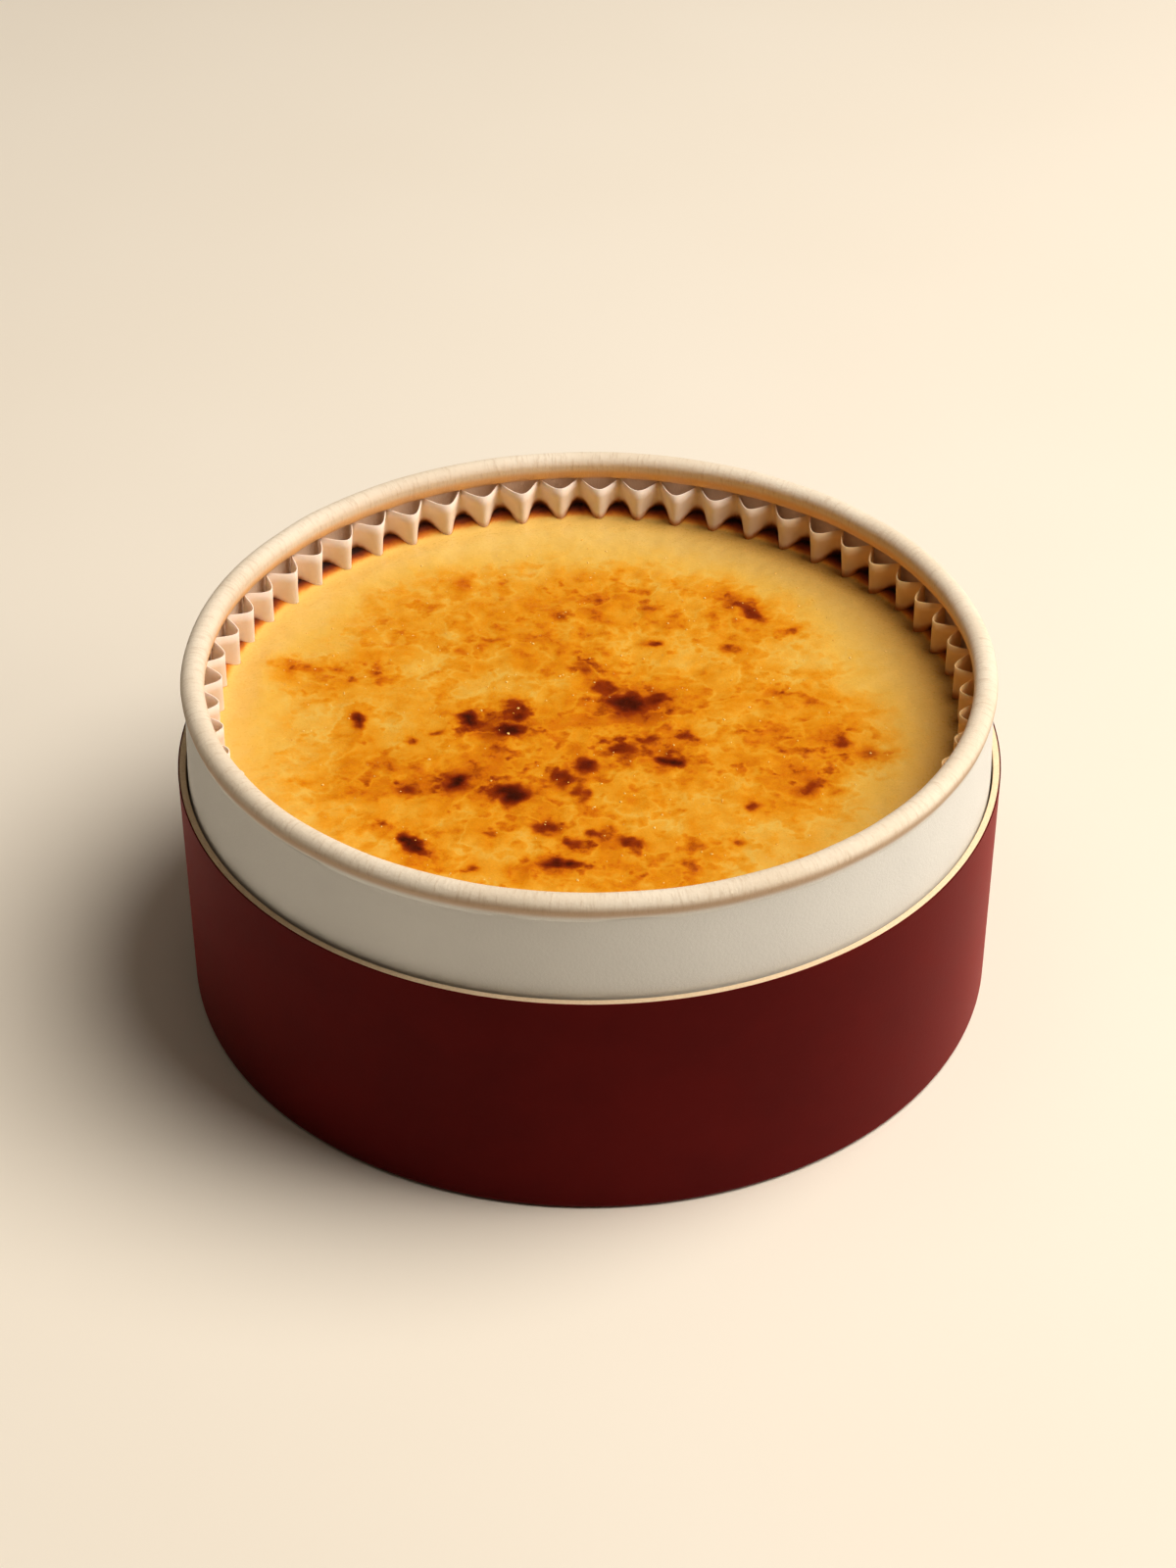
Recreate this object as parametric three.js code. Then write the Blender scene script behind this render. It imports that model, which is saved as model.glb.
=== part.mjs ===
// Baked cheesecake in a pleated paper case. The case stands in a round paper tub with a rolled rim,
// and the tub stands in a wrapped board sleeve with a floor.
// Millimetres, +Z up, origin on the ground under the middle of the base.
import * as THREE from 'three';

// Clearance between pieces that touch in the real object
const GAP = 0.3;
const ROUND_SEGMENTS = 72;

// Outer sleeve: board wall and floor, open at the top
const SLEEVE_RADIUS = 80;
const SLEEVE_HEIGHT = 48.6;
const SLEEVE_BOARD = 1.5;
const SLEEVE_FLOOR = 2;
const SLEEVE_EDGE = 0.3;

// Inner tub: wound paper wall and floor; the top is rolled inwards into a bead that hangs down inside
const TUB_RADIUS = 77.75;
const TUB_FLOOR = 1.5;
const RIM_TOP = 69.6;
const BEAD_RADIUS = 78;
const BEAD_WIDTH = 4.5;
const BEAD_RISE = 2;
const BEAD_DROP = 3.4;
const BEAD_TUCK = 0.7;
const BEAD_STEPS = 12;

// Paper case: one sheet pressed into upright flutes all round
const FLUTES = 55;
const FLUTE_POINTS = 8;
const FLUTE_DEPTH = 4.2;
const FLUTE_UNEVENNESS = 0.45;
const FLUTE_FULLNESS = 0.88;
const FLUTE_START = THREE.MathUtils.degToRad(88.4);
const CASE_PAPER = 0.5;
const CASE_TOP = 63.9;
const CASE_EDGE_DIP = 0.4;

// Cheesecake: fills the case, with low swells on its skin; its edge sinks a little and climbs into the flutes
const CAKE_SIDE_GAP = 0.45;
const CAKE_LEVEL = 57.2;
const CAKE_EDGE_SINK = 0.9;
const CAKE_CLIMB = 1.6;
const CAKE_LIP = 1.9;
const CAKE_TOP_RINGS = 6;
const CAKE_SWELLS = [
  { length: 47, heading: 20, height: 0.3 },
  { length: 31, heading: 105, height: 0.22 },
  { length: 23, heading: 160, height: 0.14 },
];

// Heights and radii that follow from the sizes above
const TUB_BASE = SLEEVE_FLOOR + GAP;
const TUB_INNER_RADIUS = BEAD_RADIUS - BEAD_WIDTH / 2;
const CASE_BASE = TUB_BASE + TUB_FLOOR + GAP;
const CAKE_BASE = CASE_BASE + CASE_PAPER + GAP;
const FOLD_RADIUS = TUB_INNER_RADIUS - GAP - CASE_PAPER;
const CASE_COLUMNS = FLUTES * FLUTE_POINTS;

// A round piece from its half section, given from the axis underneath to the axis on top
function revolve(section) {
  const points = section.map(([radius, height]) => new THREE.Vector2(radius, height));
  const geometry = new THREE.LatheGeometry(points, ROUND_SEGMENTS);
  geometry.rotateX(Math.PI / 2);
  return geometry;
}

// Triangles that fill the band between two closed rings, which may have different point counts
function bandTriangles(lower, upper) {
  const triangles = [];
  let i = 0;
  let j = 0;
  const lowerSteps = lower.length > 1 ? lower.length : 0;
  const upperSteps = upper.length > 1 ? upper.length : 0;
  while (i < lowerSteps || j < upperSteps) {
    const a = lower[i % lower.length];
    const b = upper[j % upper.length];
    const lowerFirst = (i + 1) * upper.length <= (j + 1) * lower.length;
    if (i < lowerSteps && (lowerFirst || j === upperSteps)) {
      i += 1;
      triangles.push(a, lower[i % lower.length], b);
    } else {
      j += 1;
      triangles.push(a, upper[j % upper.length], b);
    }
  }
  return triangles;
}

// A closed solid through rings of points, each a full turn, from a pole underneath to a pole on top
function stackRings(rings) {
  const triangles = [];
  for (let k = 0; k + 1 < rings.length; k += 1) {
    triangles.push(...bandTriangles(rings[k], rings[k + 1]));
  }
  const geometry = new THREE.BufferGeometry().setFromPoints(triangles);
  geometry.computeVertexNormals();
  return geometry;
}

// One ring of points; radius and height are functions of the angle
function ring(columns, radius, height) {
  const points = [];
  for (let column = 0; column < columns; column += 1) {
    const angle = FLUTE_START + (2 * Math.PI * column) / columns;
    const r = radius(angle);
    points.push(new THREE.Vector3(r * Math.cos(angle), r * Math.sin(angle), height(angle)));
  }
  return points;
}

function pole(height) {
  return [new THREE.Vector3(0, 0, height)];
}

// How far a flute stands inwards at an angle: 1 on the inner fold, 0 on the outer fold
function fluteWave(angle) {
  const wave = (1 + Math.cos(FLUTES * (angle - FLUTE_START))) / 2;
  return Math.max(0, wave) ** FLUTE_FULLNESS;
}

// Inner face of the paper: the folds differ a little in depth from flute to flute
function caseRadius(angle) {
  const flute = Math.round((FLUTES * (angle - FLUTE_START)) / (2 * Math.PI)) % FLUTES;
  const depth = FLUTE_DEPTH + FLUTE_UNEVENNESS * Math.sin(flute * 12.9);
  return FOLD_RADIUS - depth * fluteWave(angle);
}

function sleeveGeometry() {
  const innerRadius = SLEEVE_RADIUS - SLEEVE_BOARD;
  return revolve([
    [0, 0],
    [SLEEVE_RADIUS - SLEEVE_EDGE, 0],
    [SLEEVE_RADIUS, SLEEVE_EDGE],
    [SLEEVE_RADIUS, SLEEVE_HEIGHT - SLEEVE_EDGE],
    [SLEEVE_RADIUS - SLEEVE_EDGE, SLEEVE_HEIGHT],
    [innerRadius + SLEEVE_EDGE, SLEEVE_HEIGHT],
    [innerRadius, SLEEVE_HEIGHT - SLEEVE_EDGE],
    [innerRadius, SLEEVE_FLOOR],
    [0, SLEEVE_FLOOR],
  ]);
}

// The bead swells out of the outer wall, runs over the top and hangs down against the inner wall
function tubGeometry() {
  const halfWidth = BEAD_WIDTH / 2;
  const beadHeight = RIM_TOP - BEAD_RISE;
  const bead = [];
  for (let step = 0; step <= BEAD_STEPS; step += 1) {
    const angle = (1.5 * Math.PI * step) / BEAD_STEPS;
    const reach = Math.sin(angle) > 0 ? BEAD_RISE : BEAD_DROP;
    bead.push([TUB_INNER_RADIUS + halfWidth * Math.cos(angle), beadHeight + reach * Math.sin(angle)]);
  }
  return revolve([
    [0, TUB_BASE],
    [TUB_RADIUS, TUB_BASE],
    [TUB_RADIUS, beadHeight - BEAD_TUCK],
    ...bead,
    [TUB_INNER_RADIUS, TUB_BASE + TUB_FLOOR],
    [0, TUB_BASE + TUB_FLOOR],
  ]);
}

function caseGeometry() {
  const outer = (angle) => caseRadius(angle) + CASE_PAPER;
  const edge = (angle) => CASE_TOP - CASE_EDGE_DIP * fluteWave(angle);
  return stackRings([
    pole(CASE_BASE),
    ring(CASE_COLUMNS, outer, () => CASE_BASE),
    ring(CASE_COLUMNS, outer, edge),
    ring(CASE_COLUMNS, caseRadius, edge),
    ring(CASE_COLUMNS, caseRadius, () => CASE_BASE + CASE_PAPER),
    pole(CASE_BASE + CASE_PAPER),
  ]);
}

// Height of the skin at a point of the cake's top
function skinHeight(radius, angle) {
  let height = CAKE_LEVEL;
  for (const swell of CAKE_SWELLS) {
    const along = radius * Math.cos(angle - THREE.MathUtils.degToRad(swell.heading));
    height += swell.height * Math.sin((2 * Math.PI * along) / swell.length);
  }
  return height;
}

function cakeGeometry() {
  const side = (angle) => caseRadius(angle) - CAKE_SIDE_GAP;
  const edgeHeight = (angle) => CAKE_LEVEL - CAKE_EDGE_SINK + CAKE_CLIMB * (1 - fluteWave(angle));
  const lipRadius = FOLD_RADIUS - FLUTE_DEPTH - FLUTE_UNEVENNESS - CAKE_LIP;
  const rings = [
    pole(CAKE_BASE),
    ring(CASE_COLUMNS, side, () => CAKE_BASE),
    ring(CASE_COLUMNS, side, edgeHeight),
  ];
  for (let step = 0; step < CAKE_TOP_RINGS; step += 1) {
    const radius = lipRadius * (1 - step / CAKE_TOP_RINGS);
    const columns = step === 0 ? FLUTES * 4 : FLUTES * 2;
    rings.push(ring(columns, () => radius, (angle) => skinHeight(radius, angle)));
  }
  rings.push(pole(skinHeight(0, 0)));
  return stackRings(rings);
}

function subPart(name, geometry, color, roughness) {
  const material = new THREE.MeshStandardMaterial({ color, roughness, metalness: 0 });
  const mesh = new THREE.Mesh(geometry, material);
  mesh.name = name;
  return mesh;
}

const cheesecake = new THREE.Group();
cheesecake.add(subPart('outer_sleeve', sleeveGeometry(), 0x6b1a1c, 0.5));
cheesecake.add(subPart('inner_tub', tubGeometry(), 0xeee6d8, 0.75));
cheesecake.add(subPart('paper_case', caseGeometry(), 0xd9b183, 0.8));
cheesecake.add(subPart('cheesecake', cakeGeometry(), 0xdc961f, 0.4));

export default cheesecake;
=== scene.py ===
import math
import random

import bmesh
import bpy
from mathutils import Matrix, Vector, noise


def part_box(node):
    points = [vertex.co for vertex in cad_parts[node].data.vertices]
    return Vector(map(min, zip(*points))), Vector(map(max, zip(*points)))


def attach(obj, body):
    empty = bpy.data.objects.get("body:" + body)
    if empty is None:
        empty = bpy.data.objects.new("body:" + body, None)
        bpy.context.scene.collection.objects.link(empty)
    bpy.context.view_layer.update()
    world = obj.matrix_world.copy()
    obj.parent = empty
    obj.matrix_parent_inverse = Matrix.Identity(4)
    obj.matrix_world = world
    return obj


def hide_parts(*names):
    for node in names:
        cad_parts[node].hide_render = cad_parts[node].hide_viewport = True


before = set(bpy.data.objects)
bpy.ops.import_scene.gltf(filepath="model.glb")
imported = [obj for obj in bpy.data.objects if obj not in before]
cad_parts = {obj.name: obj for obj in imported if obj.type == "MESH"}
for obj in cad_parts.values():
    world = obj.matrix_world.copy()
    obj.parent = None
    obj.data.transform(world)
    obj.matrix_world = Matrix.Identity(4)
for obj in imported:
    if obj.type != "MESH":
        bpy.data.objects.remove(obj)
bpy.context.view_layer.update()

# Camera: it stands straight in front of the cake, about 64 cm from the middle of the base,
# and looks down at 36 degrees through a short telephoto lens. Nothing of the view is rolled.
CAMERA_PLACE = (0.0, -0.4968, 0.3990)
CAMERA_TILT = math.radians(54.02)
CAMERA_LENS = 71.4
CAMERA_SHIFT = -0.0009

camera_data = bpy.data.cameras.new("camera")
camera_data.lens = CAMERA_LENS
camera_data.shift_x = CAMERA_SHIFT
camera = bpy.data.objects.new("camera", camera_data)
camera.location = CAMERA_PLACE
camera.rotation_euler = (CAMERA_TILT, 0.0, 0.0)
bpy.context.scene.collection.objects.link(camera)
bpy.context.scene.camera = camera

# Studio: a large warm lamp high on the right, weak ones low on the right and overhead, and a dark room.
# The view shows colours as they are lit, without a film curve.
LAMP_AIM = Vector((0.0, 0.0, 0.04))
ROOM_COLOR = (1.0, 0.84, 0.66, 1.0)
ROOM_STRENGTH = 0.05


def soft_lamp(name, heading, rise, distance, size, power, color):
    """A round lamp turned to the cake; heading from +X and rise above the floor are in degrees."""
    level = math.cos(math.radians(rise))
    away = Vector((level * math.cos(math.radians(heading)), level * math.sin(math.radians(heading)),
                   math.sin(math.radians(rise))))
    lamp_data = bpy.data.lights.new(name, "AREA")
    lamp_data.shape = "DISK"
    lamp_data.size = size
    lamp_data.energy = power
    lamp_data.color = color
    lamp = bpy.data.objects.new(name, lamp_data)
    lamp.location = LAMP_AIM + distance * away
    lamp.rotation_euler = away.to_track_quat("Z", "Y").to_euler()
    bpy.context.scene.collection.objects.link(lamp)


soft_lamp("key_lamp", heading=5, rise=61, distance=1.5, size=1.15, power=25.0, color=(1.0, 0.945, 0.865))
soft_lamp("side_lamp", heading=-8, rise=24, distance=1.3, size=0.6, power=4.2, color=(1.0, 0.93, 0.84))
soft_lamp("top_lamp", heading=90, rise=84, distance=1.6, size=1.6, power=2.6, color=(1.0, 0.84, 0.68))

room = bpy.data.worlds.new("dim_room")
room.use_nodes = True
room.node_tree.nodes["Background"].inputs["Color"].default_value = ROOM_COLOR
room.node_tree.nodes["Background"].inputs["Strength"].default_value = ROOM_STRENGTH
bpy.context.scene.world = room
bpy.context.scene.view_settings.view_transform = "Standard"

# Floor: one seamless sheet of cream studio paper that the cake stands on, without an edge in view.
# It is matt, with a very faint cloudiness, and belongs to the stage.
FLOOR_REACH = 4.0
FLOOR_DROP = 0.0002


def srgb(red, green, blue):
    """A colour read off a screen, 0 to 255, as the shader's linear colour."""
    linear = []
    for value in (red / 255, green / 255, blue / 255):
        linear.append(value / 12.92 if value <= 0.04045 else ((value + 0.055) / 1.055) ** 2.4)
    return (*linear, 1.0)


class Field:
    """A number that varies over a surface; arithmetic on it adds Math nodes to its finish."""

    def __init__(self, finish, socket):
        self.finish = finish
        self.socket = socket

    def math(self, operation, first, second=0.0):
        return self.finish.node("ShaderNodeMath", {"operation": operation}, {0: first, 1: second})

    def __add__(self, other):
        return self.math("ADD", self, other)

    __radd__ = __add__

    def __mul__(self, other):
        return self.math("MULTIPLY", self, other)

    __rmul__ = __mul__

    def __sub__(self, other):
        return self.math("SUBTRACT", self, other)

    def __rsub__(self, other):
        return self.math("SUBTRACT", other, self)

    def __abs__(self):
        return self.math("ABSOLUTE", self)


class Finish:
    """A material whose nodes are added one by one, each giving the Field of its output."""

    def __init__(self, name):
        self.material = bpy.data.materials.new(name)
        self.material.use_nodes = True
        self.tree = self.material.node_tree
        self.tree.nodes.clear()
        self.end = self.tree.nodes.new("ShaderNodeOutputMaterial")

    def node(self, kind, settings, inputs, output=0):
        made = self.tree.nodes.new(kind)
        for name, value in settings.items():
            if name == "stops":
                ramp = made.color_ramp.elements
                for extra in range(len(value) - len(ramp)):
                    ramp.new(0.5)
                for stop, (place, color) in zip(ramp, value):
                    stop.position = place
                    stop.color = color
            else:
                setattr(made, name, value)
        for name, value in inputs.items():
            if isinstance(value, Field):
                self.tree.links.new(value.socket, made.inputs[name])
            else:
                made.inputs[name].default_value = value
        return Field(self, made.outputs[output])

    def place(self):
        return self.node("ShaderNodeTexCoord", {}, {}, "Object")

    def axis(self, name):
        return self.node("ShaderNodeSeparateXYZ", {}, {"Vector": self.place()}, name)

    def radius(self):
        """Distance from the upright axis."""
        level = self.node("ShaderNodeMapping", {}, {"Vector": self.place(), "Scale": (1.0, 1.0, 0.0)})
        return self.node("ShaderNodeVectorMath", {"operation": "LENGTH"}, {0: level}, "Value")

    def grain(self, scale, detail=3.0, roughness=0.55, vector=None):
        """Soft noise between 0 and 1; scale is in lumps for each metre."""
        sockets = {"Vector": vector or self.place(), "Scale": scale, "Detail": detail, "Roughness": roughness}
        return self.node("ShaderNodeTexNoise", {}, sockets)

    def step(self, field, low, high):
        """0 where the field is at low, 1 where it is at high, and smooth between."""
        sockets = {"Value": field, "From Min": low, "From Max": high, "To Min": 0.0, "To Max": 1.0}
        return self.node("ShaderNodeMapRange", {"interpolation_type": "SMOOTHSTEP"}, sockets)

    def mix(self, first, second, factor):
        settings = {"data_type": "RGBA", "clamp_factor": True}
        return self.node("ShaderNodeMix", settings, {0: factor, 6: first, 7: second}, 2)

    def bump(self, height, distance, strength=1.0):
        sockets = {"Height": height, "Distance": distance, "Strength": strength}
        return self.node("ShaderNodeBump", {}, sockets, "Normal")

    def surface(self, **sockets):
        named = {name.replace("_", " "): value for name, value in sockets.items()}
        shader = self.node("ShaderNodeBsdfPrincipled", {}, named)
        self.tree.links.new(shader.socket, self.end.inputs["Surface"])
        return self.material


def floor_finish():
    finish = Finish("studio_paper")
    cloud = finish.grain(6.0, detail=2.0)
    color = finish.mix(srgb(244, 234, 218), srgb(249, 241, 228), cloud)
    return finish.surface(Base_Color=color, Roughness=0.9, Specular_IOR_Level=0.2)


floor_mesh = bpy.data.meshes.new("floor")
shape = bmesh.new()
bmesh.ops.create_grid(shape, x_segments=1, y_segments=1, size=FLOOR_REACH)
bmesh.ops.translate(shape, verts=shape.verts, vec=(0.0, 0.0, -FLOOR_DROP))
shape.to_mesh(floor_mesh)
shape.free()
floor = bpy.data.objects.new("floor", floor_mesh)
floor_mesh.materials.append(floor_finish())
bpy.context.scene.collection.objects.link(floor)

# Sleeve board: the stiff wall and floor of the outer sleeve, wound and pressed from pale board.
# Only its cut upper edge shows, as a thin cream ring round the tub, and its underside.
MM = 0.001
TURN_STEPS = 288
CORNER_STEPS = 5
WRAP_PAPER = 0.25 * MM
BOARD_WALL = 1.5 * MM
BOARD_FLOOR = 2.0 * MM
BOARD_EDGE = 0.2 * MM
sleeve_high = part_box("outer_sleeve")[1]
SLEEVE_RADIUS = sleeve_high[0]
SLEEVE_TOP = sleeve_high[2]


def rounded(corners):
    """Points of a half section; each corner is a radius, a height and the length it is rounded over."""
    points = []
    for index, (radius, height, rounding) in enumerate(corners):
        corner = Vector((radius, height))
        if not rounding:
            points.append(corner)
            continue
        before = Vector(corners[index - 1][:2])
        after = Vector(corners[(index + 1) % len(corners)][:2])
        start = corner + (before - corner).normalized() * rounding
        end = corner + (after - corner).normalized() * rounding
        for step in range(CORNER_STEPS + 1):
            share = step / CORNER_STEPS
            points.append(start.lerp(corner, share).lerp(corner.lerp(end, share), share))
    return points


def turned(section, closed=False, steps=TURN_STEPS):
    """A mesh turned about the upright axis from a half section, closed on itself or ending on the axis."""
    shape = bmesh.new()
    points = [shape.verts.new((radius, 0.0, height)) for radius, height in section]
    edges = [shape.edges.new(pair) for pair in zip(points, points[1:])]
    if closed:
        edges.append(shape.edges.new((points[-1], points[0])))
    bmesh.ops.spin(shape, geom=points + edges, cent=(0, 0, 0), axis=(0, 0, 1), angle=math.tau,
                   steps=steps, use_merge=True)
    bmesh.ops.remove_doubles(shape, verts=shape.verts, dist=0.001 * MM)
    bmesh.ops.recalc_face_normals(shape, faces=shape.faces)
    return shape


def finished(name, shape, material):
    """The object of a finished mesh, smooth, with its finish, riding on the cake's only body."""
    mesh = bpy.data.meshes.new(name)
    for face in shape.faces:
        face.smooth = True
    shape.to_mesh(mesh)
    shape.free()
    mesh.materials.append(material)
    piece = bpy.data.objects.new(name, mesh)
    bpy.context.scene.collection.objects.link(piece)
    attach(piece, "root")
    return piece


def flat_sided(piece):
    """Keeps the shading of large faces flat right up to their rounded edges."""
    piece.modifiers.new("flat_sides", "WEIGHTED_NORMAL")


def board_finish():
    finish = Finish("cut_board")
    fibre = finish.grain(2600.0, detail=4.0)
    color = finish.mix(srgb(224, 190, 146), srgb(250, 230, 198), fibre)
    normal = finish.bump(fibre, 0.08 * MM, 0.6)
    return finish.surface(Base_Color=color, Roughness=0.75, Normal=normal)


board_radius = SLEEVE_RADIUS - WRAP_PAPER
board_inside = SLEEVE_RADIUS - BOARD_WALL
board = finished("sleeve_board", turned(rounded([
    (0.0, WRAP_PAPER, 0.0),
    (board_radius, WRAP_PAPER, BOARD_EDGE),
    (board_radius, SLEEVE_TOP, BOARD_EDGE),
    (board_inside, SLEEVE_TOP, BOARD_EDGE),
    (board_inside, BOARD_FLOOR, BOARD_EDGE),
    (0.0, BOARD_FLOOR, 0.0),
])), board_finish())
flat_sided(board)
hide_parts("outer_sleeve")

# Sleeve wrap: one strip of burgundy satin paper glued round the board, flush with its cut edge,
# with a hem turned under the base and its ends lapped at the back.
WRAP_HEM = 9.0 * MM
WRAP_FOLD = 0.9 * MM
LAP_TURN = math.radians(9.0)
LAP_PROUD = 0.16 * MM
LAP_STEPS = 12
LAP_RAMP = 0.7 * LAP_TURN
LAP_CORNER = 1.0
LAP_EDGE = 0.04 * MM


def wrap_finish():
    finish = Finish("burgundy_wrap")
    fibre = finish.grain(1500.0, detail=5.0, roughness=0.6)
    cloud = finish.grain(45.0, detail=3.0)
    tone = finish.mix(srgb(80, 9, 9), srgb(88, 12, 11), finish.step(cloud, 0.3, 0.7))
    color = finish.mix(tone, srgb(108, 22, 20), finish.step(fibre, 0.6, 0.85) * 0.5)
    normal = finish.bump(fibre, 0.05 * MM, 0.5)
    gloss = 0.44 + 0.12 * cloud
    return finish.surface(Base_Color=color, Roughness=gloss, Normal=normal, Specular_IOR_Level=0.03,
                          Sheen_Weight=0.55, Sheen_Roughness=0.38, Sheen_Tint=srgb(208, 86, 82))


burgundy = wrap_finish()
wrap = finished("sleeve_wrap", turned(rounded([
    (SLEEVE_RADIUS - WRAP_HEM, 0.0, 0.0),
    (SLEEVE_RADIUS, 0.0, WRAP_FOLD),
    (SLEEVE_RADIUS, SLEEVE_TOP, 0.5 * WRAP_PAPER),
    (board_radius, SLEEVE_TOP, 0.0),
    (board_radius, WRAP_PAPER, BOARD_EDGE),
    (SLEEVE_RADIUS - WRAP_HEM, WRAP_PAPER, 0.0),
]), closed=True), burgundy)
flat_sided(wrap)

lap_shape = bmesh.new()
lap_corners = [(board_radius, WRAP_FOLD), (SLEEVE_RADIUS, WRAP_FOLD), (SLEEVE_RADIUS, SLEEVE_TOP),
               (board_radius, SLEEVE_TOP)]
lap_start = math.pi / 2 - LAP_TURN / 2
lap_points = []
for radius, height in lap_corners:
    place = (radius * math.cos(lap_start), radius * math.sin(lap_start), height)
    lap_points.append(lap_shape.verts.new(place))
lap_end = lap_shape.faces.new(lap_points)
bmesh.ops.spin(lap_shape, geom=[lap_end], cent=(0, 0, 0), axis=(0, 0, 1), angle=LAP_TURN, steps=LAP_STEPS)
for vertex in lap_shape.verts:
    if vertex.co.xy.length > SLEEVE_RADIUS - 0.1 * WRAP_PAPER:
        turn = math.atan2(vertex.co.y, vertex.co.x) - lap_start
        share = min(1.0, turn / LAP_RAMP)
        vertex.co.xy *= 1.0 + LAP_PROUD * share / SLEEVE_RADIUS
bmesh.ops.recalc_face_normals(lap_shape, faces=lap_shape.faces)
lap_rims = [edge for edge in lap_shape.edges if edge.calc_face_angle(0.0) > LAP_CORNER]
bmesh.ops.bevel(lap_shape, geom=lap_rims, offset=LAP_EDGE, affect="EDGES", segments=2, profile=0.5,
                material=-1)
flat_sided(finished("sleeve_wrap_lap", lap_shape, burgundy))

# Tub wall: the inner tub is wound from paper board, white outside and raw inside, with a pressed floor.
# It stands loose in the sleeve with a thin gap all round, and leans in a little under its rolled rim.
TUB_GAP = 0.4 * MM
TUB_LEAN = 0.65 * MM
TUB_FLOOR = 1.5 * MM
TUB_BEND = 2.0 * MM
BEAD_WIDTH = 4.5 * MM
BEAD_RISE = 2.0 * MM
BEAD_DROP = 3.4 * MM
BEAD_SHOULDER = 2.4 * MM
BEAD_TUCK = 1.44 * MM
tub_low, tub_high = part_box("inner_tub")
TUB_BASE = tub_low[2]
BEAD_RADIUS = tub_high[0]
RIM_TOP = tub_high[2]
BEAD_LEVEL = RIM_TOP - BEAD_RISE
TUB_RADIUS = SLEEVE_RADIUS - BOARD_WALL - TUB_GAP
TUB_NECK = TUB_RADIUS - TUB_LEAN
TUB_INSIDE = BEAD_RADIUS - BEAD_WIDTH / 2


def tub_finish():
    """White paper outside that turns to raw cream paper on the rolled rim and to brown paper inside, with
    painted shade under the rim.
    """
    finish = Finish("tub_paper")
    height = finish.axis("Z")
    radius = finish.radius()
    fibre = finish.grain(1700.0, detail=5.0, roughness=0.65)
    cloud = finish.grain(40.0, detail=3.0)
    heading = height.math("ARCTAN2", finish.axis("X"), finish.axis("Y")) * BEAD_RADIUS
    rolled = finish.node("ShaderNodeCombineXYZ", {}, {"X": heading, "Y": 0.2 * radius, "Z": 0.2 * height})
    crimp = finish.grain(1500.0, detail=5.0, roughness=0.68, vector=rolled)
    white = finish.mix(srgb(224, 222, 217), srgb(240, 238, 232), cloud)
    cream = finish.mix(srgb(234, 217, 193), srgb(245, 231, 210), finish.step(cloud, 0.3, 0.7))
    cream = finish.mix(cream, srgb(198, 170, 138), finish.step(crimp, 0.48, 0.7) * 0.4)
    cream = finish.mix(cream, srgb(255, 246, 230), finish.step(fibre, 0.56, 0.76) * 0.5)
    # The curl hanging inside the rim is brown: partly the raw kraft tone, partly painted shade with warm
    # bounce under the bead.
    kraft_tone_and_shade = finish.mix(srgb(240, 192, 136), srgb(248, 208, 156), fibre)
    curl_end = BEAD_LEVEL - BEAD_DROP
    lining = finish.mix(srgb(250, 224, 198), kraft_tone_and_shade, finish.step(height, curl_end - 1.0 * MM, curl_end))
    edge = height + 0.5 * MM * (finish.grain(300.0) - 0.5)
    raw = finish.step(edge, RIM_TOP - 3.9 * MM, RIM_TOP - 1.7 * MM)
    inside = finish.step(radius, TUB_INSIDE + 0.6 * MM, TUB_INSIDE + 0.1 * MM)
    under = inside * finish.step(height, BEAD_LEVEL - 0.2 * MM, BEAD_LEVEL - 1.6 * MM)
    rim = 1.0 - (1.0 - raw) * (1.0 - inside)
    # A brownish band round the outside just under the bead: partly the raw paper's warmer tone, partly
    # painted shade under the rolled rim.
    shoulder_tone_and_shade = finish.step(abs(height - (BEAD_LEVEL - 0.5 * MM)), 1.7 * MM, 0.2 * MM) * (1.0 - inside)
    color = finish.mix(finish.mix(white, cream, rim), srgb(186, 148, 112), 0.75 * shoulder_tone_and_shade)
    color = finish.mix(color, lining, under)
    normal = finish.bump(fibre + 1.1 * rim * crimp, 0.11 * MM, 0.8)
    return finish.surface(Base_Color=color, Roughness=0.72, Normal=normal, Specular_IOR_Level=0.25)


tub_paper = tub_finish()
wall_top = BEAD_LEVEL - BEAD_TUCK
tub = finished("tub_wall", turned(rounded([
    (0.0, TUB_BASE, 0.0),
    (TUB_RADIUS, TUB_BASE, BOARD_EDGE),
    (TUB_RADIUS, SLEEVE_TOP, TUB_BEND),
    (TUB_NECK, BEAD_LEVEL - BEAD_SHOULDER, 0.0),
    (TUB_NECK, wall_top, 0.0),
    (TUB_INSIDE, wall_top, 0.0),
    (TUB_INSIDE, TUB_BASE + TUB_FLOOR, BOARD_EDGE),
    (0.0, TUB_BASE + TUB_FLOOR, 0.0),
])), tub_paper)
flat_sided(tub)
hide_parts("inner_tub")

# Tub rim: the upper end of the wall, rolled inwards by machine into a soft bead of raw paper.
# Its shoulder flows out of the wall, and its curl hangs down inside, slightly uneven all round.
BEAD_TOP_STEPS = 22
BEAD_CURL_STEPS = 14
BEAD_CURL_FULLNESS = 0.72
BEAD_SHOULDER_STEPS = 8
BEAD_WAVER = 0.14 * MM


def ease(value, low, high):
    share = min(1.0, max(0.0, (value - low) / (high - low)))
    return share * share * (3.0 - 2.0 * share)


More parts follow.
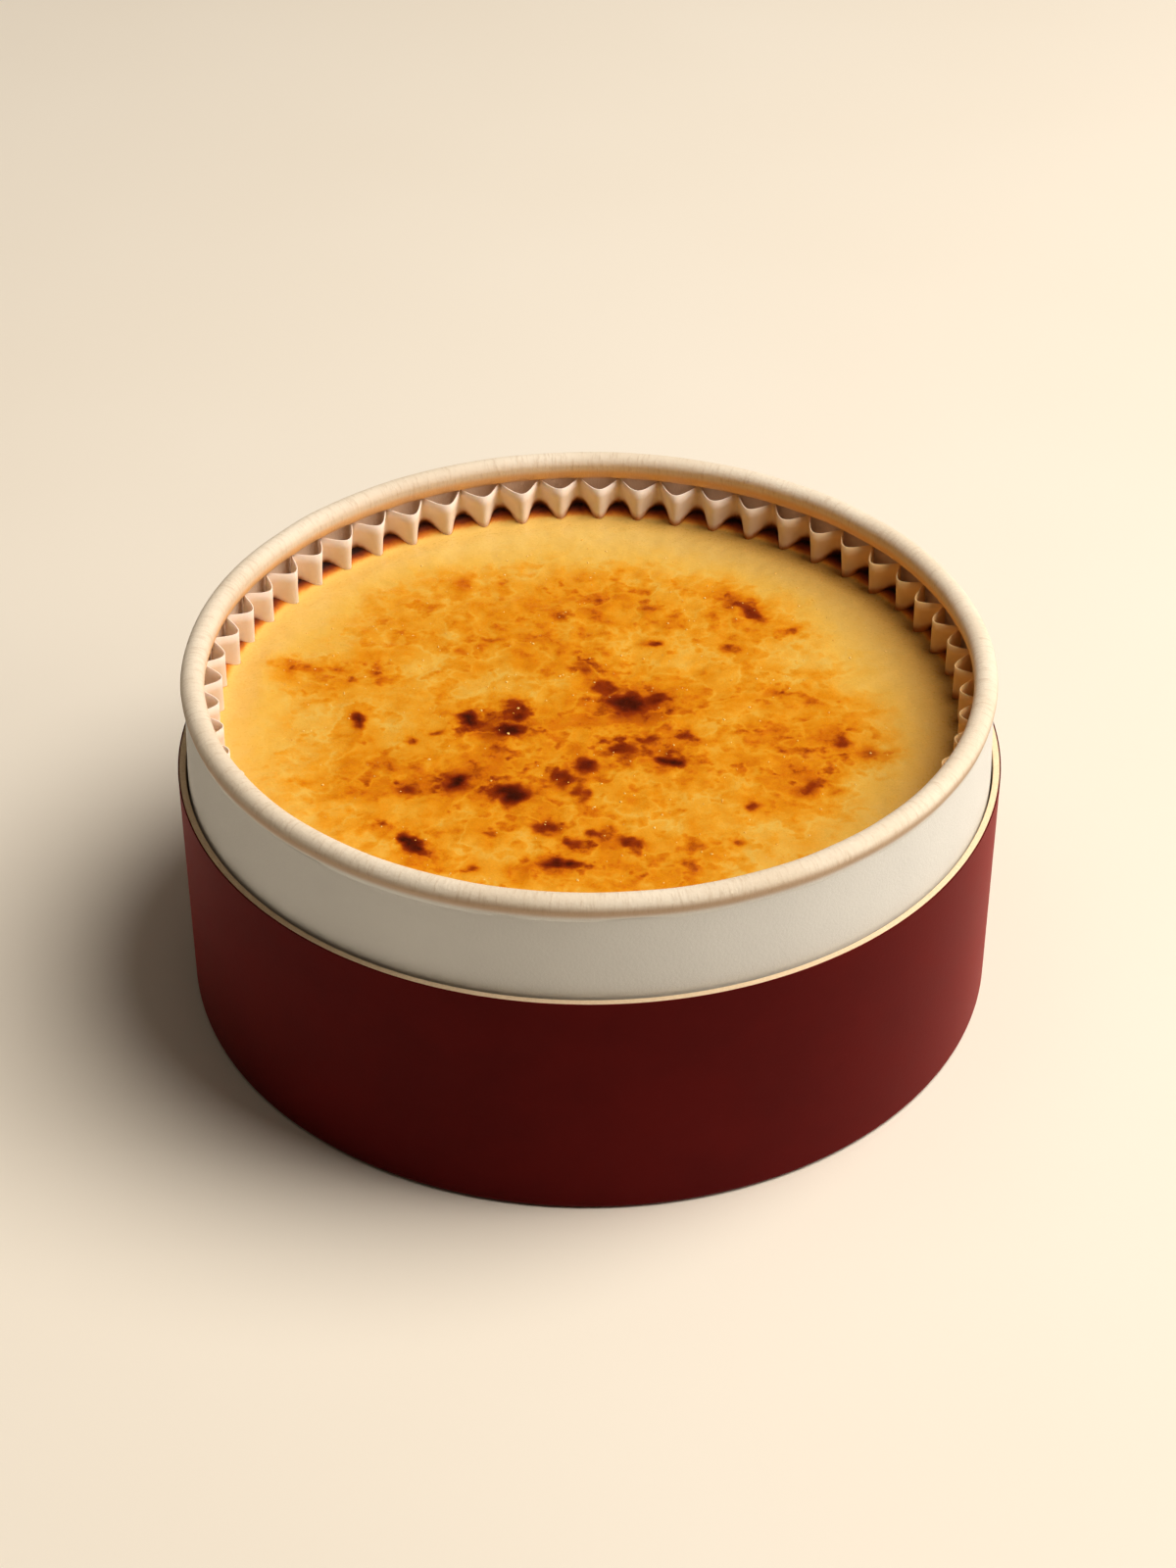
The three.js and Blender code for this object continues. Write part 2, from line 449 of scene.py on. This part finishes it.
bead_section = []
for step in range(BEAD_SHOULDER_STEPS):
    share = step / BEAD_SHOULDER_STEPS
    height = BEAD_LEVEL - BEAD_SHOULDER * (1.0 - share)
    bead_section.append((TUB_NECK + (BEAD_RADIUS - TUB_NECK) * ease(share, 0.0, 1.0), height))
for step in range(BEAD_TOP_STEPS):
    angle = math.pi * step / BEAD_TOP_STEPS
    height = BEAD_LEVEL + BEAD_RISE * math.sin(angle)
    bead_section.append((TUB_INSIDE + BEAD_WIDTH / 2 * math.cos(angle), height))
for step in range(BEAD_CURL_STEPS + 1):
    angle = math.pi / 2 * step / BEAD_CURL_STEPS
    height = BEAD_LEVEL - BEAD_DROP * math.sin(angle) ** BEAD_CURL_FULLNESS
    inwards = max(0.0, math.cos(angle)) ** BEAD_CURL_FULLNESS
    bead_section.append((TUB_INSIDE - BEAD_WIDTH / 2 * inwards, height))
bead_shape = turned(bead_section, closed=True)
for vertex in bead_shape.verts:
    lean = vertex.co.xy.normalized()
    waver = noise.noise(Vector((lean.x * 5.0, lean.y * 5.0, vertex.co.z * 200.0)))
    vertex.co.z += BEAD_WAVER * noise.noise(Vector((lean.x * 7.0, lean.y * 7.0, 3.0)))
    vertex.co.xy += lean * BEAD_WAVER * waver
finished("tub_rim", bead_shape, tub_paper)

# Paper case: one disc of unbleached baking paper pressed into upright flutes, which line the tub.
# It is thin enough to glow in the light, and baking has browned it where the cake stands against it.
FLUTES = 55
FLUTE_STEPS = 18
FLUTE_DEPTH = 4.2 * MM
FLUTE_UNEVENNESS = 0.8 * MM
FLUTE_FULLNESS_LOW = 1.3
FLUTE_FULLNESS_HIGH = 0.5
FLUTE_START = math.radians(88.4)
CASE_PAPER = 0.2 * MM
CASE_ROWS = 26
CASE_EDGE_WAVER = 0.25 * MM
CASE_EDGE_DIP = 0.5 * MM
CASE_CLEARANCE = 0.35 * MM
CAKE_LEVEL = 57.2 * MM
CAKE_EDGE_SINK = 0.9 * MM
CAKE_CLIMB = 1.6 * MM
CASE_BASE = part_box("paper_case")[0][2]
CASE_TOP = BEAD_LEVEL - BEAD_DROP
FOLD_RADIUS = TUB_INSIDE - CASE_CLEARANCE - CASE_PAPER
TIP_RADIUS = FOLD_RADIUS - FLUTE_DEPTH


def flute_wave(angle, height):
    """How far the paper stands inwards: 1 on an inner fold, which opens out upwards, 0 on an outer one."""
    wave = 0.5 + 0.5 * math.cos(FLUTES * (angle - FLUTE_START))
    opening = ease(height, CAKE_LEVEL - CAKE_EDGE_SINK, CASE_TOP)
    fullness = FLUTE_FULLNESS_LOW + (FLUTE_FULLNESS_HIGH - FLUTE_FULLNESS_LOW) * opening
    return max(0.0, wave) ** fullness


def case_radius(angle, height):
    """Inner face of the paper; the folds differ a little in depth."""
    flute = round(FLUTES * (angle - FLUTE_START) / math.tau) % FLUTES
    uneven = noise.noise(Vector((flute * 0.73, 4.0, height * 15.0)))
    depth = FLUTE_DEPTH + FLUTE_UNEVENNESS * uneven
    return FOLD_RADIUS - depth * flute_wave(angle, height)


def case_finish():
    finish = Finish("baking_paper")
    fibre = finish.grain(900.0, detail=5.0, roughness=0.65)
    pale = finish.mix(srgb(247, 222, 203), srgb(254, 238, 225), fibre)
    pocket = finish.step(finish.radius(), TIP_RADIUS + 0.2 * MM, FOLD_RADIUS)
    climb = CAKE_CLIMB * pocket
    above_cake = finish.axis("Z") - (CAKE_LEVEL - CAKE_EDGE_SINK) - climb
    patchy = finish.grain(210.0, detail=4.0) - 0.5
    hot_side = finish.step(0.85 * finish.axis("X") + 0.5 * finish.axis("Y"), -45.0 * MM, 60.0 * MM)
    # Painted glow: the paper towards +X is tinted warm orange-tan, standing in for light shining through it
    # and bounced off the cake.
    painted_glow_side = finish.step(finish.axis("X"), 20.0 * MM, 66.0 * MM)
    paper = finish.mix(pale, srgb(255, 206, 132), 0.85 * painted_glow_side)
    creep = above_cake - (0.9 * hot_side + 0.5 * pocket - 0.3) * MM + 2.4 * MM * patchy
    toast = finish.step(creep, 1.3 * MM, -0.4 * MM) * (1.0 - (1.0 - pocket) * (1.0 - hot_side))
    burn = finish.step(creep, 0.5 * MM, -0.7 * MM) * finish.step(pocket, 0.1, 0.6)
    color = finish.mix(finish.mix(paper, srgb(198, 122, 52), toast), srgb(70, 25, 8), burn)
    normal = finish.bump(fibre, 0.06 * MM, 0.5)
    return finish.surface(Base_Color=color, Roughness=0.65, Normal=normal, Specular_IOR_Level=0.25,
                          Subsurface_Weight=0.16, Subsurface_Scale=0.9 * MM,
                          Subsurface_Radius=(1.0, 0.62, 0.38))


case_section = [(0.0, CASE_BASE)]
for row in range(CASE_ROWS + 1):
    case_section.append((FOLD_RADIUS, CASE_BASE + (CASE_TOP - CASE_BASE) * row / CASE_ROWS))
case_shape = turned(case_section, steps=FLUTES * FLUTE_STEPS)
for vertex in case_shape.verts:
    if vertex.co.xy.length < 0.5 * FOLD_RADIUS:
        continue
    angle = math.atan2(vertex.co.y, vertex.co.x)
    rise = (vertex.co.z - CASE_BASE) / (CASE_TOP - CASE_BASE)
    radius = case_radius(angle, vertex.co.z)
    vertex.co.xy = Vector((math.cos(angle), math.sin(angle))) * radius
    waver = noise.noise(Vector((vertex.co.x * 90.0, vertex.co.y * 90.0, 0.0)))
    dip = CASE_EDGE_DIP * flute_wave(angle, vertex.co.z) + CASE_EDGE_WAVER * abs(waver)
    vertex.co.z -= rise * dip
case = finished("paper_case", case_shape, case_finish())
thickness = case.modifiers.new("paper", "SOLIDIFY")
thickness.thickness = CASE_PAPER
thickness.offset = 1.0
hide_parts("paper_case")

# Cheesecake: baked custard that fills the case and has set against its flutes.
# Its skin is pale at the edge, amber and mottled in the middle, burnt in spots and black in the folds.
CAKE_STEPS = FLUTES * FLUTE_STEPS
CAKE_RINGS = 76
CAKE_PRESS = 0.05 * MM
CAKE_CORE = 66.0 * MM
CAKE_SIDE_ROWS = 6
CAKE_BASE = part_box("cheesecake")[0][2]
CAKE_RADIUS = FOLD_RADIUS + CAKE_PRESS

# Burnt spots on the skin: place, half sizes, turn in degrees and how dark, in millimetres from the axis
BURNT_SPOTS = [
    (7.5, 0.8, 3.8, 3.9, 0, 1.0), (3.2, 6.0, 2.6, 2.8, 0, 0.62), (13.0, 2.2, 2.4, 1.7, 20, 0.62),
    (-23.0, -4.6, 2.5, 3.2, 30, 0.9), (-15.2, -8.6, 3.2, 2.0, 0, 0.92), (-14.0, -3.0, 2.6, 3.6, 10, 0.68),
    (-44.5, -5.4, 2.0, 3.8, 10, 0.8), (-25.0, -25.0, 2.8, 3.2, 0, 0.82), (-14.6, -29.0, 3.5, 3.4, 0, 0.97),
    (-32.4, -44.5, 2.3, 4.8, 38, 0.97), (-5.0, -50.5, 3.6, 1.7, 0, 0.85), (15.0, -18.4, 2.5, 2.3, 0, 0.8),
    (7.4, -44.0, 3.2, 2.0, 0, 0.68), (-7.4, -39.6, 3.0, 2.4, 0, 0.7), (-3.2, -44.0, 2.6, 1.6, 0, 0.62),
    (1.0, -41.0, 2.2, 1.7, 0, 0.6), (-34.2, -28.4, 2.4, 2.0, 0, 0.62), (33.0, 32.6, 1.9, 4.4, 28, 0.66),
    (13.4, 22.0, 1.9, 1.7, 0, 0.62), (48.2, -12.0, 1.7, 2.4, 0, 0.58), (53.6, -16.0, 3.2, 2.6, 0, 0.48),
    (42.4, -26.0, 2.8, 1.8, 30, 0.5), (30.4, -33.0, 1.7, 1.5, 0, 0.55), (27.8, -44.0, 1.3, 1.2, 0, 0.48),
    (-17.6, -42.6, 1.7, 1.5, 0, 0.55), (-21.4, -52.0, 2.0, 1.1, 0, 0.5), (-38.0, -38.2, 1.9, 1.3, 0, 0.45),
    (-0.6, -20.0, 2.4, 2.6, 0, 0.76), (5.4, -15.0, 3.2, 2.4, 20, 0.62), (-5.2, -24.4, 2.6, 2.8, 0, 0.62),
    (-1.2, -29.6, 1.8, 3.0, 0, 0.55), (18.6, -10.0, 1.9, 1.9, 0, 0.55), (11.2, -11.4, 2.6, 1.5, 0, 0.52),
    (-33.8, -12.0, 1.3, 1.7, 0, 0.55), (-17.0, -15.4, 2.4, 1.5, 0, 0.48), (-29.0, -9.6, 1.6, 1.2, 0, 0.45),
    (-57.0, 12.6, 5.4, 2.2, -25, 0.4), (-50.0, 12.6, 2.6, 2.4, 0, 0.38), (-41.2, 13.6, 2.0, 2.6, 0, 0.4),
    (-46.6, 8.6, 1.5, 1.3, 0, 0.45), (-26.0, 43.2, 2.0, 2.4, 0, 0.4), (-26.0, 19.4, 1.7, 1.5, 0, 0.4),
    (-19.6, 23.2, 1.2, 1.5, 0, 0.4), (40.0, 26.6, 2.2, 1.5, 30, 0.45), (27.2, 20.0, 2.8, 1.6, 0, 0.4),
    (28.4, 37.8, 2.4, 2.4, 0, 0.42), (37.0, 4.0, 2.6, 2.2, 0, 0.36), (-0.6, 13.0, 1.9, 3.0, 0, 0.46),
]

# Browned patches of the skin, in the same terms
BROWNED_PATCHES = [
    (-2.0, -18.0, 34.0, 24.0, 0, 0.28), (2.0, 34.0, 36.0, 22.0, 0, 0.24), (-50.0, 10.0, 17.0, 9.0, 0, 0.26),
    (-34.0, 38.0, 20.0, 14.0, 20, 0.16), (30.0, 32.0, 15.0, 13.0, 0, 0.2), (0.0, -53.0, 52.0, 14.0, 0, 0.24),
    (-42.0, -24.0, 24.0, 20.0, 0, 0.22), (38.0, -16.0, 24.0, 26.0, 0, 0.26), (8.0, 3.0, 16.0, 12.0, 0, 0.3),
    (-20.0, -4.0, 14.0, 9.0, 0, 0.2), (-16.0, 20.0, 26.0, 14.0, 0, 0.12),
]
BAKED_SHARE = 0.38
BAKED_CENTRE = (-2.0, -6.0)
BAKED_FROM = 73.0
BAKED_FULLY = 46.0
PATCH_FADE = 1.3
SPOT_SPREAD = 1.15
SPOT_CORE = 0.2
SPOT_RAGGEDNESS = 0.3
SPOT_DEEPER = 0.05
SPOT_FADE = 1.5
HALO_FADE = 2.6
HALO_CORE = 0.6
HALO_SHARE = 0.3

# Waves of the skin in millimetres: height, length and the place of their noise
SKIN_WAVES = [(0.55, 26.0, 1.0), (0.26, 6.0, 5.0), (0.15, 2.4, 9.0)]
SKIN_SHORE = 7.0 * MM


def reach(x, y, mark):
    """Distance from the middle of a mark, 1 on its outline."""
    centre_x, centre_y, half_x, half_y, turn, strength = mark
    along = (x - centre_x) * math.cos(math.radians(turn)) + (y - centre_y) * math.sin(math.radians(turn))
    across = (y - centre_y) * math.cos(math.radians(turn)) - (x - centre_x) * math.sin(math.radians(turn))
    return math.hypot(along / half_x, across / half_y)


def wander(x, y, layer):
    """A sideways drift that makes the marks uneven, the same in every run."""
    return Vector((noise.noise(Vector((x, y, layer))), noise.noise(Vector((x, y, layer + 40.0)))))


def browning(place):
    """How far the skin is baked at a place: near 0 pale custard, 0.5 amber, 1 black."""
    x = place.x / MM
    y = place.y / MM
    warp = 1.5 * wander(x * 0.26, y * 0.26, 2.0) + 0.6 * wander(x * 0.7, y * 0.7, 8.0)
    ragged = 1.0 + SPOT_RAGGEDNESS * noise.noise(Vector((x * 0.55, y * 0.55, 6.0)))
    from_centre = math.hypot(x - BAKED_CENTRE[0], y - BAKED_CENTRE[1])
    unbaked = 1.0 - BAKED_SHARE * ease(from_centre, BAKED_FROM, BAKED_FULLY)
    for patch in BROWNED_PATCHES:
        distance = reach(x + 2.0 * warp.x, y + 2.0 * warp.y, patch)
        unbaked *= 1.0 - patch[5] * ease(distance, PATCH_FADE, 0.1)
    dark = 0.0
    for spot in BURNT_SPOTS:
        if max(abs(x - spot[0]), abs(y - spot[1])) > (HALO_FADE + 0.5) * max(spot[2], spot[3]):
            continue
        distance = reach(x + warp.x, y + warp.y, spot) / SPOT_SPREAD
        burn = min(1.0, ragged * (spot[5] + SPOT_DEEPER)) * ease(distance, SPOT_FADE, SPOT_CORE)
        halo = HALO_SHARE * spot[5] * ease(distance, HALO_FADE, HALO_CORE)
        dark = max(dark, burn, halo + 0.5 * dark)
    return 1.0 - unbaked * (1.0 - dark)


def skin_level(place):
    """Height of the skin: swells, dimples and fine wrinkles, sunk at the case and climbing into its folds."""
    x = place.x / MM
    y = place.y / MM
    waves = 0.0
    for height, length, seed in SKIN_WAVES:
        waves += height * noise.noise(Vector((x / length, y / length, seed)))
    radius = place.xy.length
    free = ease(radius, TIP_RADIUS + 1.0 * MM, TIP_RADIUS - SKIN_SHORE)
    sink = CAKE_EDGE_SINK * ease(radius, TIP_RADIUS - SKIN_SHORE, TIP_RADIUS)
    climb = CAKE_CLIMB * ease(radius, TIP_RADIUS, FOLD_RADIUS)
    return CAKE_LEVEL + free * waves * MM - sink + climb


def cake_finish():
    finish = Finish("baked_skin")
    baked = finish.node("ShaderNodeAttribute", {"attribute_name": "browning"}, {}, "Fac")
    fold = finish.node("ShaderNodeAttribute", {"attribute_name": "fold_burn"}, {}, "Fac")
    cloud = finish.grain(95.0, detail=6.0, roughness=0.6)
    patch = finish.step(cloud, 0.36, 0.64) - 0.5
    fleck = finish.grain(300.0, detail=4.0, roughness=0.6)
    blot = finish.step(fleck, 0.46, 0.72) - 0.3
    vein = finish.step(abs(finish.grain(150.0, detail=3.0) - 0.5), 0.06, 0.0)
    pores = finish.grain(1250.0, detail=3.0) - 0.5
    depth = 0.25 + 0.8 * finish.step(baked, 0.08, 0.45) - 0.85 * finish.step(baked, 0.58, 0.82)
    tone = baked + depth * (0.2 * patch + 0.17 * blot - 0.1 * vein) + 0.04 * pores
    skin = finish.node("ShaderNodeValToRGB", {"stops": [
        (0.00, srgb(232, 192, 102)),
        (0.18, srgb(233, 182, 76)),
        (0.34, srgb(231, 160, 40)),
        (0.48, srgb(224, 140, 14)),
        (0.62, srgb(206, 108, 3)),
        (0.76, srgb(146, 52, 1)),
        (0.88, srgb(102, 26, 0)),
        (1.00, srgb(54, 11, 0)),
    ]}, {"Fac": tone})
    singed = fold + 0.3 * patch * fold + 0.5 * (fleck - 0.5)
    edge = finish.node("ShaderNodeValToRGB", {"stops": [
        (0.05, srgb(232, 172, 66)),
        (0.28, srgb(202, 112, 20)),
        (0.58, srgb(132, 52, 8)),
        (0.95, srgb(40, 13, 5)),
    ]}, {"Fac": singed})
    # Painted shadow: towards the case on the right and back right the skin is mixed to olive brown, standing
    # in for the shade cast by the rim.
    rim_shadow_side = finish.step(0.95 * finish.axis("X") + 0.32 * finish.axis("Y"), 8.0 * MM, 64.0 * MM)
    painted_rim_shadow = rim_shadow_side * finish.step(finish.radius(), 50.0 * MM, 72.0 * MM)
    skin = finish.mix(skin, srgb(150, 100, 38), 0.8 * painted_rim_shadow)
    color = finish.mix(skin, edge, finish.step(fold, 0.0, 0.2))
    height = 0.2 * pores + 1.5 * fleck + 1.8 * cloud
    normal = finish.bump(height, 0.17 * MM, 0.8)
    gloss = 0.3 + 0.55 * finish.step(fold, 0.1, 0.5) + 0.3 * pores
    return finish.surface(Base_Color=color, Roughness=gloss, Normal=normal, Specular_IOR_Level=0.25)


cake_section = [(0.0, CAKE_BASE)]
for row in range(CAKE_SIDE_ROWS + 1):
    cake_section.append((CAKE_RADIUS, CAKE_BASE + (CAKE_LEVEL - CAKE_BASE) * row / CAKE_SIDE_ROWS))
for index in range(1, CAKE_RINGS + 1):
    cake_section.append((CAKE_RADIUS * (1.0 - index / CAKE_RINGS), CAKE_LEVEL))
cake_shape = turned(cake_section, steps=CAKE_STEPS)
browning_layer = cake_shape.verts.layers.float.new("browning")
fold_layer = cake_shape.verts.layers.float.new("fold_burn")
for vertex in cake_shape.verts:
    radius = vertex.co.xy.length
    on_top = vertex.co.z > CAKE_LEVEL - 0.01 * MM
    if radius > CAKE_CORE:
        angle = math.atan2(vertex.co.y, vertex.co.x)
        side = case_radius(angle, vertex.co.z) + CAKE_PRESS
        share = (radius - CAKE_CORE) / (CAKE_RADIUS - CAKE_CORE)
        vertex.co.xy *= (CAKE_CORE + share * (side - CAKE_CORE)) / radius
    if on_top:
        vertex[fold_layer] = ease(vertex.co.xy.length, TIP_RADIUS + 0.3 * MM, FOLD_RADIUS - 0.4 * MM)
        vertex[browning_layer] = browning(vertex.co)
        vertex.co.z = skin_level(vertex.co)
    else:
        vertex[fold_layer] = 1.0
cake = finished("cheesecake", cake_shape, cake_finish())
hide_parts("cheesecake")

# Skin bubbles: small blisters of syrup and fat that burst through the custard as it browned.
# They sit half sunk in the skin, glossy and pale, in loose groups.
BUBBLES = 300
BUBBLE_SMALL = 0.14 * MM
BUBBLE_LARGE = 0.3 * MM
BUBBLE_RISE = 0.55
BUBBLE_FIELD = 62.0 * MM


def bubble_finish():
    finish = Finish("syrup_bubble")
    tint = finish.grain(420.0, detail=2.0)
    color = finish.mix(srgb(236, 176, 70), srgb(246, 204, 116), finish.step(tint, 0.35, 0.65))
    return finish.surface(Base_Color=color, Roughness=0.2, Specular_IOR_Level=0.5, Coat_Weight=0.1)


scatter = random.Random(7)
bubble_shape = bmesh.new()
laid = 0
while laid < BUBBLES:
    place = Vector((scatter.uniform(-1.0, 1.0), scatter.uniform(-1.0, 1.0), 0.0)) * BUBBLE_FIELD
    size = BUBBLE_SMALL + (BUBBLE_LARGE - BUBBLE_SMALL) * scatter.random() ** 3
    crowd = 0.5 + noise.noise(Vector((place.x * 70.0, place.y * 70.0, 11.0)))
    if place.length > BUBBLE_FIELD or scatter.random() > crowd:
        continue
    place.z = skin_level(place)
    stretch = Vector((size * scatter.uniform(0.8, 1.5), size, size * BUBBLE_RISE))
    turn = Matrix.Rotation(scatter.uniform(0.0, math.pi), 3, "Z").to_quaternion()
    bmesh.ops.create_icosphere(bubble_shape, subdivisions=2, radius=1.0,
                               matrix=Matrix.LocRotScale(place, turn, stretch))
    laid += 1
finished("skin_bubbles", bubble_shape, bubble_finish())
